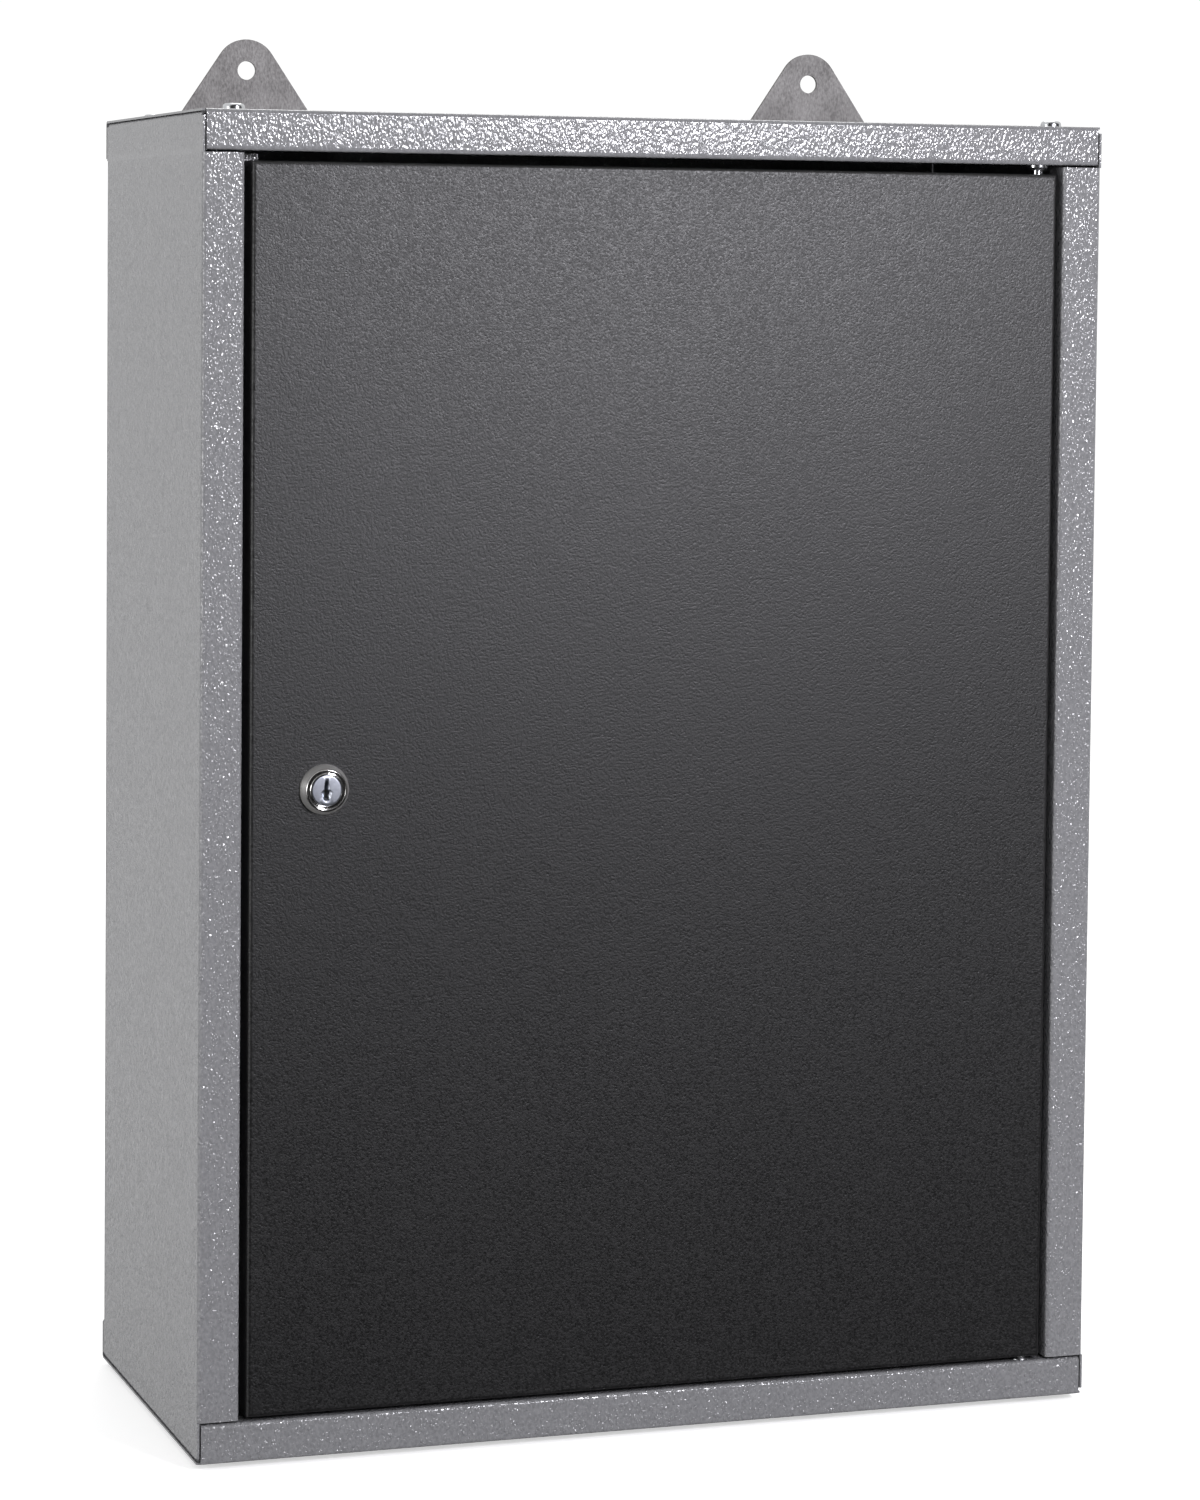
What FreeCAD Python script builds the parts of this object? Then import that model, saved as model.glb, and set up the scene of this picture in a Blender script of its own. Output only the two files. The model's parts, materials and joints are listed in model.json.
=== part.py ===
"""A lockable wall cabinet in folded sheet steel, with a keyed cam lock and two shelves.

Frame: X to the right, Y from the door towards the wall, Z up.  The origin is under the middle
of the whole object, level with the lowest screw heads.  Every sub-part is drawn in the case's
own coordinates (X from the case's middle, Y from its front face, Z from its underside) and one
shared placement carries all of them into the frame.
"""
import FreeCAD, Part
import math
import operator
import os
import Sketcher

doc = FreeCAD.newDocument("WallCabinet")
sheet = doc.addObject("Spreadsheet::Sheet", "sizes")
parts = []


# ---------------------------------------------------------------- sizes and expressions

OPERATORS = {"+": operator.add, "-": operator.sub, "*": operator.mul, "/": operator.truediv}


class Size:
    """A number together with the expression that gives it from the spreadsheet."""

    def __init__(self, value, text):
        self.value = float(value)
        self.text = text

    def __add__(self, other):
        return combined(self, "+", other)

    def __radd__(self, other):
        return combined(other, "+", self)

    def __sub__(self, other):
        return combined(self, "-", other)

    def __rsub__(self, other):
        return combined(other, "-", self)

    def __mul__(self, other):
        return combined(self, "*", other)

    def __rmul__(self, other):
        return combined(other, "*", self)

    def __truediv__(self, other):
        return combined(self, "/", other)

    def __neg__(self):
        return combined(0, "-", self)


def as_size(number):
    return number if isinstance(number, Size) else Size(number, f"{float(number)}")


def combined(left, sign, right):
    left = as_size(left)
    right = as_size(right)
    value = OPERATORS[sign](left.value, right.value)
    return Size(value, f"({left.text} {sign} {right.text})")


def sine(angle):
    return Size(math.sin(math.radians(angle.value)), f"sin({angle.text})")


def tangent(angle):
    return Size(math.tan(math.radians(angle.value)), f"tan({angle.text})")


def given(name, value):
    """Writes one driving dimension into the spreadsheet and returns it."""
    given.row += 1
    sheet.set(f"A{given.row}", name)
    sheet.set(f"B{given.row}", str(value))
    sheet.setAlias(f"B{given.row}", name)
    return Size(value, f"sizes.{name}")


given.row = 0

# The case
width = given("width", 430)                        # outside, over both side panels
depth = given("depth", 200)                        # front face to the back flanges
height = given("height", 600)                      # over the top and bottom panels
gauge = given("gauge", 1.0)                        # sheet thickness of every folded panel
bend = given("bend", 1.0)                          # inside radius of every fold
side_flange = given("side_flange", 19)             # front and back flanges of a side panel
rail_high = given("rail_high", 18)                 # front flange of the top and bottom panels
rail_return = given("rail_return", 16)             # their fold back into the case
rail_gap = given("rail_gap", 0.7)                  # between a rail's end and the side sheet
back_flange = given("back_flange", 18)             # their flange down the back
hinge_return = given("hinge_return", 16)           # fold back of the hinge side's front flange
stop_lip = given("stop_lip", 10)                   # lip that the door closes against
inward_flange = given("inward_flange", 28)         # top and bottom flanges of a side panel
flange_gap = given("flange_gap", 1.0)              # between a side's front flange and the rails
corner_relief = given("corner_relief", 3)          # notch at the ends of the inward flanges
edge_slack = given("edge_slack", 0.5)              # round the edge of the back panel

# The door and its hinge
door_gap = given("door_gap", 3.3)                  # at the left and right of the door
door_gap_low = given("door_gap_low", 1.8)
door_gap_high = given("door_gap_high", 4.4)
door_deep = given("door_deep", 16)
door_lip = given("door_lip", 12)                   # inward lips behind the door's two sides
stop_gap = given("stop_gap", 1.5)                  # from the door's back to the stop lip
pad_thick = given("pad_thick", 1.2)                # rubber stop pads
pad_radius = given("pad_radius", 3.5)
pad_end = given("pad_end", 120)                    # from each end of the case
pivot_inset = given("pivot_inset", 7.5)            # pin axis from the door's right edge
pin_radius = given("pin_radius", 2.5)
pin_reach = given("pin_reach", 14)                 # into the door
collar_radius = given("collar_radius", 4.8)
collar_high = given("collar_high", 2.4)            # thickness of the upper pin's collar
collar_slope = given("collar_slope", 1.0)          # bevel towards the door
running_gap = given("running_gap", 0.3)            # between the door and what it turns beside
running_fit = given("running_fit", 0.05)           # radial, of a pin or plug in its bore
bush_radius = given("bush_radius", 3.4)
bush_flange = given("bush_flange", 4.0)            # radius of the bush's flange
bush_flange_thick = given("bush_flange_thick", 1.5)
stiffener_wide = given("stiffener_wide", 40)
stiffener_deep = given("stiffener_deep", 12)
stiffener_foot = given("stiffener_foot", 12)
stiffener_end = given("stiffener_end", 12)         # short of the door's top and bottom

# The lock
lock_inset = given("lock_inset", 34)               # lock axis from the door's left edge
lock_high = given("lock_high", 300)                # lock axis above the case's underside
bezel_radius = given("bezel_radius", 11.25)
bezel_face_radius = given("bezel_face_radius", 8.85)
bezel_proud = given("bezel_proud", 5)
bezel_skin = given("bezel_skin", 0.5)
bezel_base = given("bezel_base", 0.8)              # straight part at the bezel's base
barrel_radius = given("barrel_radius", 9)
barrel_end = given("barrel_end", 18.3)             # behind the case's front face
plug_radius = given("plug_radius", 6.75)
plug_shy = given("plug_shy", 0.2)                  # plug face behind the bezel's face
key_wide = given("key_wide", 2.2)
key_high = given("key_high", 8.6)
key_deep = given("key_deep", 15)
wafer_thick = given("wafer_thick", 0.9)
wafer_wide = given("wafer_wide", 4.8)
wafer_high = given("wafer_high", 12.4)
wafer_pitch = given("wafer_pitch", 2.2)
wafer_slack = given("wafer_slack", 0.1)
nut_across = given("nut_across", 24)               # lock nut, across its flats
nut_thick = given("nut_thick", 4)
washer_radius = given("washer_radius", 12.6)
washer_thick = given("washer_thick", 1)
cam_thick = given("cam_thick", 2)
cam_long = given("cam_long", 36)                   # from the lock's axis
cam_wide = given("cam_wide", 16)
cam_clear = given("cam_clear", 0.5)                # between the cam and the back of the stop lip
cam_square = given("cam_square", 8)                # square end of the plug
square_slack = given("square_slack", 0.1)
cam_screw_radius = given("cam_screw_radius", 2)
cam_screw_head = given("cam_screw_head", 4)
cam_screw_long = given("cam_screw_long", 9)

# Fasteners
screw_inset = given("screw_inset", 18)             # panel screws, from the side of the case
screw_front = given("screw_front", 17.7)           # from the front face
screw_back = given("screw_back", 176.6)
screw_radius = given("screw_radius", 2.5)
screw_head = given("screw_head", 4.85)
head_high = given("head_high", 3)
screw_long = given("screw_long", 9)
hex_across = given("hex_across", 8)
hex_thick = given("hex_thick", 4)
hole_slack = given("hole_slack", 0.25)             # radial, of a screw in its hole
rivet_radius = given("rivet_radius", 1.6)
rivet_head = given("rivet_head", 3.2)
rivet_head_thick = given("rivet_head_thick", 0.9)
rivet_tail = given("rivet_tail", 2.3)
rivet_tail_long = given("rivet_tail_long", 2.5)
rivet_end = given("rivet_end", 60)                 # outermost side rivets, from the case's ends
flange_rivet_x = given("flange_rivet_x", 60)       # flange rivets, from the case's middle

# The hanging brackets
bracket_thick = given("bracket_thick", 2)
hanger_span = given("hanger_span", 292)            # hanging hole to hanging hole
hanger_hole = given("hanger_hole", 4.5)            # radius
hanger_rise = given("hanger_rise", 26)             # hole above the top of the case
bracket_tip = given("bracket_tip", 15)             # radius of the rounded tip
bracket_slope = given("bracket_slope", 34)         # degrees between a sloping edge and upright
bracket_half = given("bracket_half", 40)           # half width of the foot
bracket_foot = given("bracket_foot", 24)           # below the top of the case
bracket_corner = given("bracket_corner", 4)
bracket_screw_x = given("bracket_screw_x", 25)     # from the bracket's middle
small_screw = given("small_screw", 2)              # radius
small_screw_head = given("small_screw_head", 3.8)
small_screw_long = given("small_screw_long", 10)
small_hex = given("small_hex", 7)
small_hex_thick = given("small_hex_thick", 3.2)

# The shelves and what carries them
upright_wide = given("upright_wide", 20)
upright_deep = given("upright_deep", 6)
upright_end = given("upright_end", 30)             # short of the case's top and bottom
upright_front = given("upright_front", 46)         # middle of the front uprights
upright_back = given("upright_back", 40)           # middle of the rear ones, from the back
slot_wide = given("slot_wide", 10)
slot_high = given("slot_high", 4)
slot_end = given("slot_end", 30)                   # first and last slot, from an upright's ends
shelf_front = given("shelf_front", 28)
shelf_back = given("shelf_back", 8)                # short of the case's back
shelf_gap = given("shelf_gap", 2)                  # at each end of a shelf
shelf_lip = given("shelf_lip", 15)
shelf_hem = given("shelf_hem", 8)
clip_thick = given("clip_thick", 1.6)
clip_ledge = given("clip_ledge", 14)
clip_hook = given("clip_hook", 6)
clip_slack = given("clip_slack", 0.2)

SLOT_COUNT = 10
LOWER_SLOT = 3
UPPER_SLOT = 6
SIDE_RIVETS = 5
WAFER_COUNT = 5

# Places that several sub-parts share
side_x = width / 2
inner_x = side_x - gauge
mouth_x = side_x - side_flange
back_y = depth - gauge * 2
panel_back_y = depth - gauge
fold = bend + gauge
rail_top = height - rail_high
door_x = mouth_x - door_gap
door_low = rail_high + door_gap_low
door_high = rail_top - door_gap_high
stop_y = door_deep + stop_gap
pivot_x = door_x - pivot_inset
pivot_back = fold + hex_across / 2                 # the rail nuts just clear the front fold
lock_x = lock_inset - door_x
screw_x = side_x - screw_inset
bracket_screw_z = height - back_flange / 2
hanger_z = height + hanger_rise
wall_y = depth + bracket_thick
cam_front = stop_y + gauge + cam_clear
cam_back = cam_front + cam_thick
plug_face = plug_shy - bezel_proud
slot_pitch = (height - upright_end * 2 - slot_end * 2) / (SLOT_COUNT - 1)


# ---------------------------------------------------------------- drawing helpers

PLANES = {"XY": ("XY_Plane", 1), "XZ": ("XZ_Plane", -1), "YZ": ("YZ_Plane", 1)}


def bind(thing, name, size):
    thing.setExpression(name, as_size(size).text)


def origin_feature(body, role):
    return [feature for feature in body.Origin.OriginFeatures if feature.Role == role][0]


def new_body(label):
    body = doc.addObject("PartDesign::Body", label)
    body.Label = label
    bind(body, "Placement.Base.y", -(depth + bracket_thick - bezel_proud) / 2)
    bind(body, "Placement.Base.z", head_high)
    parts.append(body)
    return body


class Ring:
    """A circle to draw: its centre and radius."""

    def __init__(self, x, y, radius):
        self.x = as_size(x)
        self.y = as_size(y)
        self.radius = as_size(radius)


def box(x_low, y_low, x_high, y_high):
    return [(x_low, y_low), (x_high, y_low), (x_high, y_high), (x_low, y_high)]


def hexagon(x, y, across):
    """A hexagon with two of its points to the left and right."""
    half = across / 2
    point = across / math.sqrt(3)
    return [(x + point, y), (x + point / 2, y + half), (x - point / 2, y + half),
            (x - point, y), (x - point / 2, y - half), (x + point / 2, y - half)]


def bent_sheet(path, side):
    """The outline of a sheet that is folded along a path of square turns.

    The path is one face of the sheet, and side is 1 where the metal lies to the left of it
    and -1 where it lies to the right.
    """
    points = [(as_size(x), as_size(y)) for x, y in path]
    runs = []
    for (x1, y1), (x2, y2) in zip(points, points[1:]):
        run_x = x2.value - x1.value
        run_y = y2.value - y1.value
        length = abs(run_x) + abs(run_y)
        runs.append((run_x / length, run_y / length))
    near = []
    far = []
    for index, (x, y) in enumerate(points):
        before = runs[max(index - 1, 0)]
        after = runs[min(index, len(runs) - 1)]
        inside_corner = 0 < index < len(runs)
        shift_x = -side * (before[1] + (after[1] if inside_corner else 0))
        shift_y = side * (before[0] + (after[0] if inside_corner else 0))
        turn = side * (before[0] * after[1] - before[1] * after[0])
        near_radius = bend if turn < 0 else fold
        far_radius = fold if turn < 0 else bend
        if not inside_corner:
            near.append((x, y))
            far.append((x + gauge * shift_x, y + gauge * shift_y))
        else:
            near.append((x, y, near_radius))
            far.append((x + gauge * shift_x, y + gauge * shift_y, far_radius))
    return near + far[::-1]


def draw_ring(sketch, ring):
    centre = FreeCAD.Vector(ring.x.value, ring.y.value, 0)
    index = sketch.addGeometry(Part.Circle(centre, FreeCAD.Vector(0, 0, 1), ring.radius.value))
    for kind, size in (("DistanceX", ring.x), ("DistanceY", ring.y)):
        number = sketch.addConstraint(Sketcher.Constraint(kind, -1, 1, index, 3, size.value))
        bind(sketch, f"Constraints[{number}]", size)
    number = sketch.addConstraint(Sketcher.Constraint("Radius", index, ring.radius.value))
    bind(sketch, f"Constraints[{number}]", ring.radius)


def corner_arc(before, corner, after, radius):
    """The two tangent points of a rounded corner and the arc between them."""
    to_before = (before - corner).normalize()
    to_after = (after - corner).normalize()
    half_angle = to_before.getAngle(to_after) / 2
    reach = radius / math.tan(half_angle)
    start = corner + to_before * reach
    end = corner + to_after * reach
    centre = corner + (to_before + to_after).normalize() * (radius / math.sin(half_angle))
    turns_left = (corner - before).cross(after - corner).z > 0
    first, second = (start, end) if turns_left else (end, start)
    angles = [math.atan2(point.y - centre.y, point.x - centre.x) for point in (first, second)]
    if angles[1] < angles[0]:
        angles[1] += 2 * math.pi
    circle = Part.Circle(centre, FreeCAD.Vector(0, 0, 1), radius)
    return start, end, Part.ArcOfCircle(circle, angles[0], angles[1]), turns_left


def draw_outline(sketch, corners):
    """Draws a closed outline; a corner with a third value is rounded to that radius."""
    corners = [tuple(as_size(value) for value in corner) for corner in corners]
    points = [FreeCAD.Vector(corner[0].value, corner[1].value, 0) for corner in corners]
    count = len(corners)
    starts = []
    ends = []
    arcs = []
    for index, corner in enumerate(corners):
        if len(corner) == 3:
            before = points[index - 1]
            after = points[(index + 1) % count]
            end, start, arc, turns_left = corner_arc(before, points[index], after, corner[2].value)
            arcs.append((index, arc, turns_left))
        else:
            end = start = points[index]
        ends.append(end)
        starts.append(start)
    lines = []
    for index in range(count):
        line = Part.LineSegment(starts[index], ends[(index + 1) % count])
        lines.append(sketch.addGeometry(line))
    rounded = {}
    for index, arc, turns_left in arcs:
        rounded[index] = (sketch.addGeometry(arc), turns_left)
    constraints = []
    bound = []
    for index, corner in enumerate(corners):
        into = lines[index - 1]
        out = lines[index]
        if index in rounded:
            arc, turns_left = rounded[index]
            first, second = (1, 2) if turns_left else (2, 1)
            point = sketch.addGeometry(Part.Point(points[index]), True)
            constraints.append(Sketcher.Constraint("Tangent", into, 2, arc, first))
            constraints.append(Sketcher.Constraint("Tangent", out, 1, arc, second))
            constraints.append(Sketcher.Constraint("PointOnObject", point, 1, into))
            constraints.append(Sketcher.Constraint("PointOnObject", point, 1, out))
            bound.append((len(constraints), corner[2]))
            constraints.append(Sketcher.Constraint("Radius", arc, corner[2].value))
        else:
            point = out
            constraints.append(Sketcher.Constraint("Coincident", into, 2, out, 1))
        for kind, size in (("DistanceX", corner[0]), ("DistanceY", corner[1])):
            bound.append((len(constraints), size))
            constraints.append(Sketcher.Constraint(kind, -1, 1, point, 1, size.value))
    first_number = sketch.ConstraintCount
    sketch.addConstraint(constraints)
    for number, size in bound:
        bind(sketch, f"Constraints[{first_number + number}]", size)
    return lines


def new_sketch(body, plane, start):
    role, sign = PLANES[plane]
    sketch = body.newObject("Sketcher::SketchObject", f"{body.Name}_sketch")
    sketch.AttachmentSupport = [(origin_feature(body, role), "")]
    sketch.MapMode = "FlatFace"
    bind(sketch, "AttachmentOffset.Base.z", as_size(start) * sign)
    return sketch


def draw(body, plane, start, shapes):
    sketch = new_sketch(body, plane, start)
    for shape in shapes:
        if isinstance(shape, Ring):
            draw_ring(sketch, shape)
        else:
            draw_outline(sketch, shape)
    return sketch


def pad(body, plane, start, length, shapes):
    """Adds the shapes' prism, from start onwards along the plane's positive direction."""
    sketch = draw(body, plane, start, shapes)
    feature = body.newObject("PartDesign::Pad", f"{body.Name}_pad")
    feature.Profile = sketch
    bind(feature, "Length", length)
    feature.Reversed = plane == "XZ"
    doc.recompute()
    return feature


def cut(body, plane, start, length, shapes):
    """Cuts the shapes' prism away, from start onwards along the plane's positive direction."""
    before = body.Tip.Shape.Volume
    sketch = draw(body, plane, start, shapes)
    feature = body.newObject("PartDesign::Pocket", f"{body.Name}_cut")
    feature.Profile = sketch
    bind(feature, "Length", length)
    feature.Reversed = plane != "XZ"
    doc.recompute()
    if not feature.Shape.Volume < before:
        raise RuntimeError(f"a cut in {body.Label} removed nothing")
    return feature


def turn(body, plane, start, centre, profile):
    """Revolves a profile of (radius, distance along the axis) points about a line at centre."""
    corners = [(as_size(centre) + radius, along) for radius, along in profile]
    sketch = new_sketch(body, plane, start)
    draw_outline(sketch, corners)
    along = [as_size(point[1]) for point in profile]
    low = min(along, key=lambda size: size.value)
    high = max(along, key=lambda size: size.value)
    ends = [FreeCAD.Vector(as_size(centre).value, size.value, 0) for size in (low, high)]
    axis = sketch.addGeometry(Part.LineSegment(*ends), True)
    for end, size in ((1, low), (2, high)):
        for kind, place in (("DistanceX", as_size(centre)), ("DistanceY", size)):
            constraint = Sketcher.Constraint(kind, -1, 1, axis, end, place.value)
            number = sketch.addConstraint(constraint)
            bind(sketch, f"Constraints[{number}]", place)
    feature = body.newObject("PartDesign::Revolution", f"{body.Name}_turn")
    feature.Profile = sketch
    feature.ReferenceAxis = (sketch, ["Axis0"])
    feature.Angle = 360
    doc.recompute()
    return feature


def round_edges(body, radius, chosen, kind="Fillet"):
    """Rounds or chamfers the edges of the body's last feature for which chosen is true."""
    base = body.Tip
    names = [f"Edge{number}" for number, edge in enumerate(base.Shape.Edges, 1) if chosen(edge)]
    feature = body.newObject(f"PartDesign::{kind}", f"{body.Name}_{kind.lower()}")
    feature.Base = (base, names)
    bind(feature, "Radius" if kind == "Fillet" else "Size", radius)
    doc.recompute()
    return feature


def repeat(body, originals, steps):
    """Repeats features in rows; each step is an axis, the row's length and its count.

    A step that is the name of a plane mirrors in that plane instead.
    """
    pattern = body.newObject("PartDesign::MultiTransform", f"{body.Name}_pattern")
    pattern.Originals = originals
    transformations = []
    for step in steps:
        if isinstance(step, str):
            mirror = body.newObject("PartDesign::Mirrored", f"{body.Name}_mirror")
            mirror.MirrorPlane = (origin_feature(body, step), [""])
            transformations.append(mirror)
            continue
        axis, length, count = step
        row = body.newObject("PartDesign::LinearPattern", f"{body.Name}_row")
        row.Direction = (origin_feature(body, axis), [""])
        bind(row, "Length", length)
        row.Occurrences = count
        transformations.append(row)
    pattern.Transformations = transformations
    body.Tip = pattern
    doc.recompute()
    return pattern


def runs_along(edge, x=None, y=None, z=None):
    """Whether both ends of an edge lie at each coordinate that is given."""
    wanted = [(index, size.value) for index, size in enumerate((x, y, z)) if size is not None]
    ends = [vertex.Point for vertex in edge.Vertexes]
    return all(abs(end[index] - value) < 1e-4 for end in ends for index, value in wanted)


# ---------------------------------------------------------------- the case

def panel_screw_holes(sign):
    return [Ring(screw_x * sign, screw_front, screw_radius + hole_slack),
            Ring(screw_x * sign, screw_back, screw_radius + hole_slack)]


def make_side_panel(label, sign):
    """A side with its front and back flanges and the flanges under the top and bottom."""
    body = new_body(label)
    front = [(mouth_x * sign, hinge_return)]
    if sign < 0:
        front = [((mouth_x - stop_lip) * sign, stop_y), (mouth_x * sign, stop_y)]
    path = front + [(mouth_x * sign, 0), (side_x * sign, 0), (side_x * sign, back_y),
                    ((side_x - side_flange) * sign, back_y)]
    flange_low = rail_high + flange_gap
    flange_high = rail_top - flange_gap
    pad(body, "XY", flange_low, flange_high - flange_low, [bent_sheet(path, sign)])
    web_low = gauge + fold
    web_high = height - gauge - fold
    web_side = -side_x if sign < 0 else inner_x
    web = [(0, web_low), (0, flange_low), (fold, flange_low), (fold, flange_high),
           (0, flange_high), (0, web_high), (back_y, web_high), (back_y, flange_high),
           (back_y - fold, flange_high), (back_y - fold, flange_low), (back_y, flange_low),
           (back_y, web_low)]
    pad(body, "YZ", web_side, gauge, [web])
    edge_x = (side_x - inward_flange) * sign
    ends = [(edge_x, gauge), (side_x * sign, gauge), (side_x * sign, height - gauge),
            (edge_x, height - gauge)]
    pad(body, "XZ", corner_relief, back_y - corner_relief * 2, [bent_sheet(ends, sign)])
    for level in (as_size(0), height - gauge * 3):
        cut(body, "XY", level, gauge * 3, panel_screw_holes(sign))
    side_rivets = []
    pitch = (height - rivet_end * 2) / (SIDE_RIVETS - 1)
    for number in range(SIDE_RIVETS):
        place = rivet_end + pitch * number
        side_rivets.append(Ring((side_x - side_flange / 2) * sign, place, rivet_radius))
    cut(body, "XZ", back_y - gauge * 2, gauge * 2, side_rivets)


def bracket_screw_rings(radius):
    """The four bracket screw places, seen along Y."""
    rings = []
    for middle in (-hanger_span / 2, hanger_span / 2):
        for offset in (-bracket_screw_x, bracket_screw_x):
            rings.append(Ring(middle + offset, bracket_screw_z, radius))
    return rings


def make_end_panel(label, top):
    """The top or bottom of the case, whose front flange is the frame's rail."""
    body = new_body(label)

    def level(distance):
        return height - distance if top else as_size(distance)

    profile = [(rail_return, level(rail_high)), (0, level(rail_high)), (0, level(0)),
               (depth, level(0)), (depth, level(back_flange))]
    side = -1 if top else 1
    rail_half = inner_x - rail_gap
    pad(body, "YZ", -rail_half, rail_half * 2, [bent_sheet(profile, side)])
    cover = [(fold, level(0)), (depth, level(0)), (depth, level(back_flange))]
    pad(body, "YZ", -side_x, side_x * 2, [bent_sheet(cover, side)])
    sheet_low = height - gauge * 2 if top else -gauge
    cut(body, "XY", sheet_low, gauge * 3, panel_screw_holes(-1) + panel_screw_holes(1))
    return_low = level(rail_high) - (gauge if top else gauge * 2)
    cut(body, "XY", return_low, gauge * 3, [Ring(pivot_x, pivot_back, pin_radius)])
    holes = [Ring(flange_rivet_x * sign, level(back_flange / 2), rivet_radius) for sign in (-1, 1)]
    if top:
        holes += bracket_screw_rings(small_screw + hole_slack)
    cut(body, "XZ", depth - gauge * 2, gauge * 3, holes)


def make_back_panel():
    body = new_body("back_panel")
    half = inner_x - edge_slack
    low = fold + edge_slack
    pad(body, "XZ", back_y, gauge, [box(-half, low, half, height - low)])
    holes = bracket_screw_rings(small_screw + hole_slack)
    for sign in (-1, 1):
        for place in (back_flange / 2, height - back_flange / 2):
            holes.append(Ring(flange_rivet_x * sign, place, rivet_radius))
        for number in range(SIDE_RIVETS):
            place = rivet_end + (height - rivet_end * 2) / (SIDE_RIVETS - 1) * number
            holes.append(Ring((side_x - side_flange / 2) * sign, place, rivet_radius))
    cut(body, "XZ", back_y - gauge, gauge * 3, holes)


def make_bracket(label, sign):
    """A flat hanger with a rounded tip, fixed to the top panel's back flange."""
    body = new_body(label)
    middle = hanger_span / 2 * sign
    apex = hanger_z + bracket_tip / sine(bracket_slope)
    shoulder = apex - bracket_half / tangent(bracket_slope)
    foot = height - bracket_foot
    outline = [(middle, apex, bracket_tip),
               (middle - bracket_half, shoulder, bracket_corner),
               (middle - bracket_half, foot, bracket_corner),
               (middle + bracket_half, foot, bracket_corner),
               (middle + bracket_half, shoulder, bracket_corner)]
    pad(body, "XZ", depth, bracket_thick, [outline])
    screw_hole = small_screw + hole_slack / 2
    holes = [Ring(middle, hanger_z, hanger_hole)]
    for offset in (-bracket_screw_x, bracket_screw_x):
        holes.append(Ring(middle + offset, bracket_screw_z, screw_hole))
    cut(body, "XZ", depth - gauge, bracket_thick + gauge * 2, holes)

    def is_screw_mouth(edge):
        circular = edge.Curve.TypeId == "Part::GeomCircle"
        return circular and runs_along(edge, y=wall_y) and edge.Curve.Radius < small_screw.value + 1

    countersink = small_screw_head - small_screw
    round_edges(body, countersink, is_screw_mouth, "Chamfer")


# ---------------------------------------------------------------- fasteners of the case

def make_panel_screws(label, top):
    """Four pan-head screws through the top or the bottom panel."""
    body = new_body(label)
    sign = 1 if top else -1
    face = height if top else as_size(0)
    dome = screw_head * 0.8
    profile = [(0, face - screw_long * sign), (screw_radius, face - screw_long * sign),
               (screw_radius, face), (screw_head, face), (screw_head, face + head_high * 0.55 * sign),
               (dome, face + head_high * sign), (0, face + head_high * sign)]
    shank = turn(body, "XZ", screw_front, -screw_x, profile)
    rows = [("X_Axis", screw_x * 2, 2), ("Y_Axis", screw_back - screw_front, 2)]
    repeat(body, [shank], rows)


def make_panel_nuts(label, top):
    """The nuts of those screws, under the side panels' inward flanges."""
    body = new_body(label)
    seat = gauge * 2
    low = height - seat - hex_thick if top else seat
    outline = [hexagon(-screw_x, screw_front, hex_across), Ring(-screw_x, screw_front, screw_radius)]
    block = pad(body, "XY", low, hex_thick, outline)
    rows = [("X_Axis", screw_x * 2, 2), ("Y_Axis", screw_back - screw_front, 2)]
    repeat(body, [block], rows)


def rivet_profile(head_face, grip):
    """A blind rivet, from its domed head at the back to its upset tail."""
    tail_face = head_face - grip
    return [(0, tail_face - rivet_tail_long), (rivet_tail * 0.7, tail_face - rivet_tail_long),
            (rivet_tail, tail_face - rivet_tail_long * 0.6), (rivet_tail, tail_face),
            (rivet_radius, tail_face), (rivet_radius, head_face), (rivet_head, head_face),
            (rivet_head * 0.75, head_face + rivet_head_thick * 0.6),
            (rivet_head * 0.35, head_face + rivet_head_thick), (0, head_face + rivet_head_thick)]


def make_rivets():
    body = new_body("side_rivets")
    centre = side_flange / 2 - side_x
    rivet = turn(body, "XY", rivet_end, centre, rivet_profile(panel_back_y, gauge * 2))
    repeat(body, [rivet], [("X_Axis", -centre * 2, 2),
                           ("Z_Axis", height - rivet_end * 2, SIDE_RIVETS)])
    body = new_body("flange_rivets")
    rivet = turn(body, "XY", back_flange / 2, -flange_rivet_x, rivet_profile(depth, gauge * 2))
    repeat(body, [rivet], [("X_Axis", flange_rivet_x * 2, 2),
                           ("Z_Axis", height - back_flange, 2)])


def make_bracket_fasteners():
    """Countersunk screws, flush with the brackets' backs, and their nuts inside."""
    first = -hanger_span / 2 - bracket_screw_x
    rows = [("X_Axis", bracket_screw_x * 2, 2), ("X_Axis", hanger_span, 2)]
    body = new_body("bracket_screws")
    cone = small_screw_head - small_screw
    profile = [(0, wall_y - small_screw_long), (small_screw, wall_y - small_screw_long),
               (small_screw, wall_y - cone), (small_screw_head, wall_y), (0, wall_y)]
    screw = turn(body, "XY", bracket_screw_z, first, profile)
    repeat(body, [screw], rows)
    body = new_body("bracket_nuts")
    outline = [hexagon(first, bracket_screw_z, small_hex), Ring(first, bracket_screw_z, small_screw)]
    nut = pad(body, "XZ", back_y - small_hex_thick, small_hex_thick, outline)
    repeat(body, [nut], rows)


# ---------------------------------------------------------------- the hinge

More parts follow.
